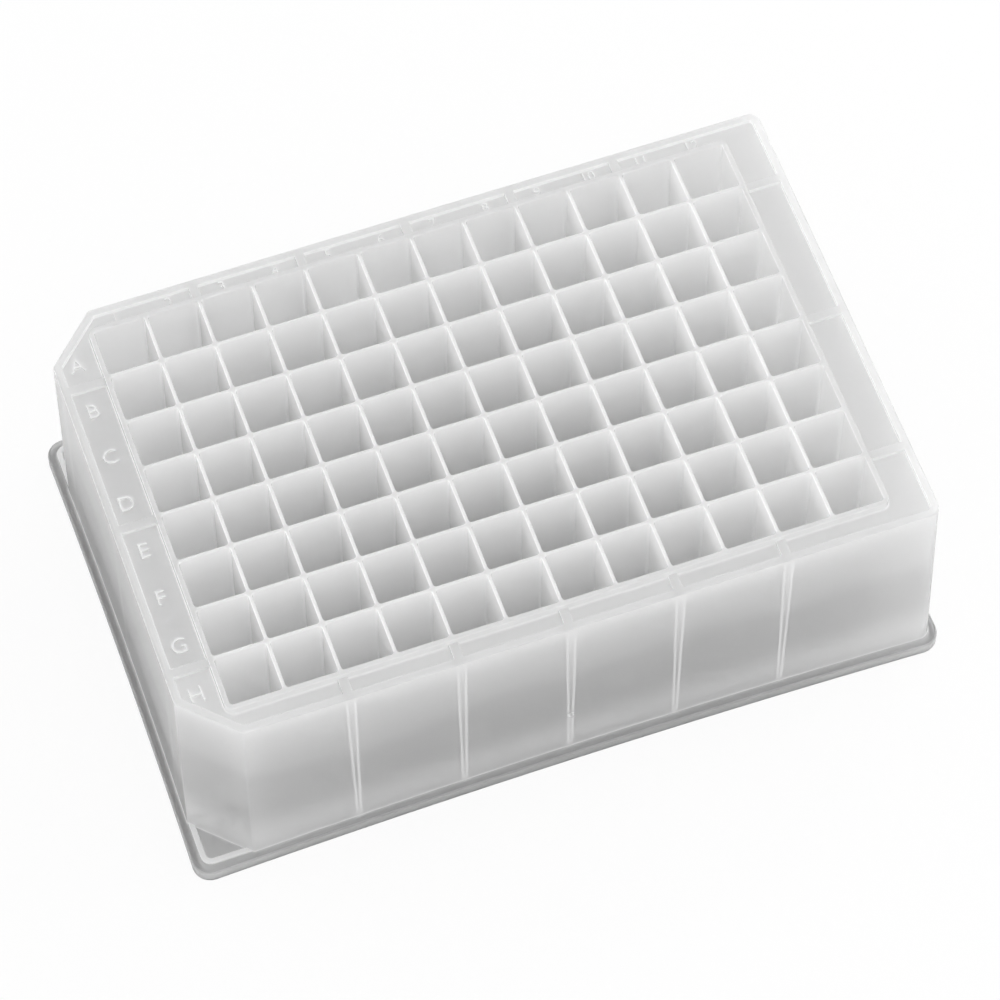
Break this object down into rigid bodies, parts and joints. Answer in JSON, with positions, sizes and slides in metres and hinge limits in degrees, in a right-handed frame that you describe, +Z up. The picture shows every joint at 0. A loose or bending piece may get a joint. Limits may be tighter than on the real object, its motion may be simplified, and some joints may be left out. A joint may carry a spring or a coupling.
{
  "type": "well plate",
  "caption": "Deep-well plate: a one-piece translucent plastic block of square wells open at the top, with a leaning skirt, a base flange and two cut corners.",
  "frame": {"origin": "centre of the base's bounding box, on the bench", "axes": "+X from column 1 to column 12 along the length, +Y from row H to row A, +Z up out of the wells"},
  "size_m": [0.1278, 0.0854, 0.043],
  "materials": {
    "natural_polypropylene": "natural translucent polypropylene, smooth as moulded, with a soft sheen"
  },
  "bodies": {
    "root": {"well_plate": "natural_polypropylene"}
  },
  "joints": []
}
